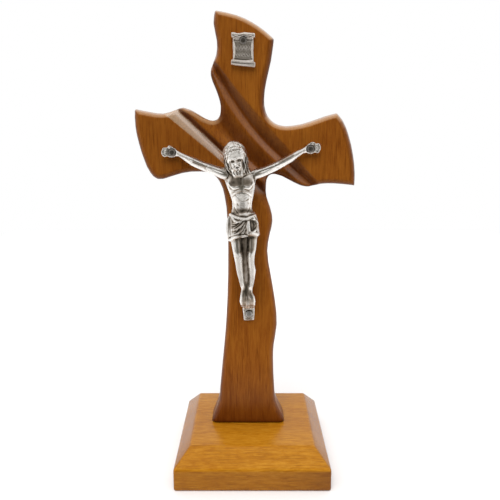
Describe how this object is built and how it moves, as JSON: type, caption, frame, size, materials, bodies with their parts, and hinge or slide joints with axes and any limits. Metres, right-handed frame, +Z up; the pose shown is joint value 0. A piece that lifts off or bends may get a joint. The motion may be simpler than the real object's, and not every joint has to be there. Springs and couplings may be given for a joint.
{
  "type": "standing cross",
  "caption": "Standing wooden cross with flared arms, a carved diagonal sash and a cast metal figure, on a chamfered square base.",
  "frame": {"origin": "middle of the base's underside, on the table", "axes": "+Z up, the figure faces -Y, +X to the right as seen from the front"},
  "size_m": [0.1131, 0.0808, 0.2394],
  "materials": {
    "base_wood": "honey-coloured gloss varnish, grain running left to right",
    "cross_wood": "warm brown gloss varnish, grain running up the stem, darker in the carving",
    "cast_metal": "antiqued cast metal, bright on the high places and dark in the hollows",
    "nail_metal": "darkened metal"
  },
  "bodies": {
    "root": {"base": "base_wood", "cross": "cross_wood", "corpus": "cast_metal", "titulus": "cast_metal", "nail_left_hand": "nail_metal", "nail_right_hand": "nail_metal", "nail_foot": "nail_metal", "nail_titulus": "nail_metal"}
  },
  "joints": []
}
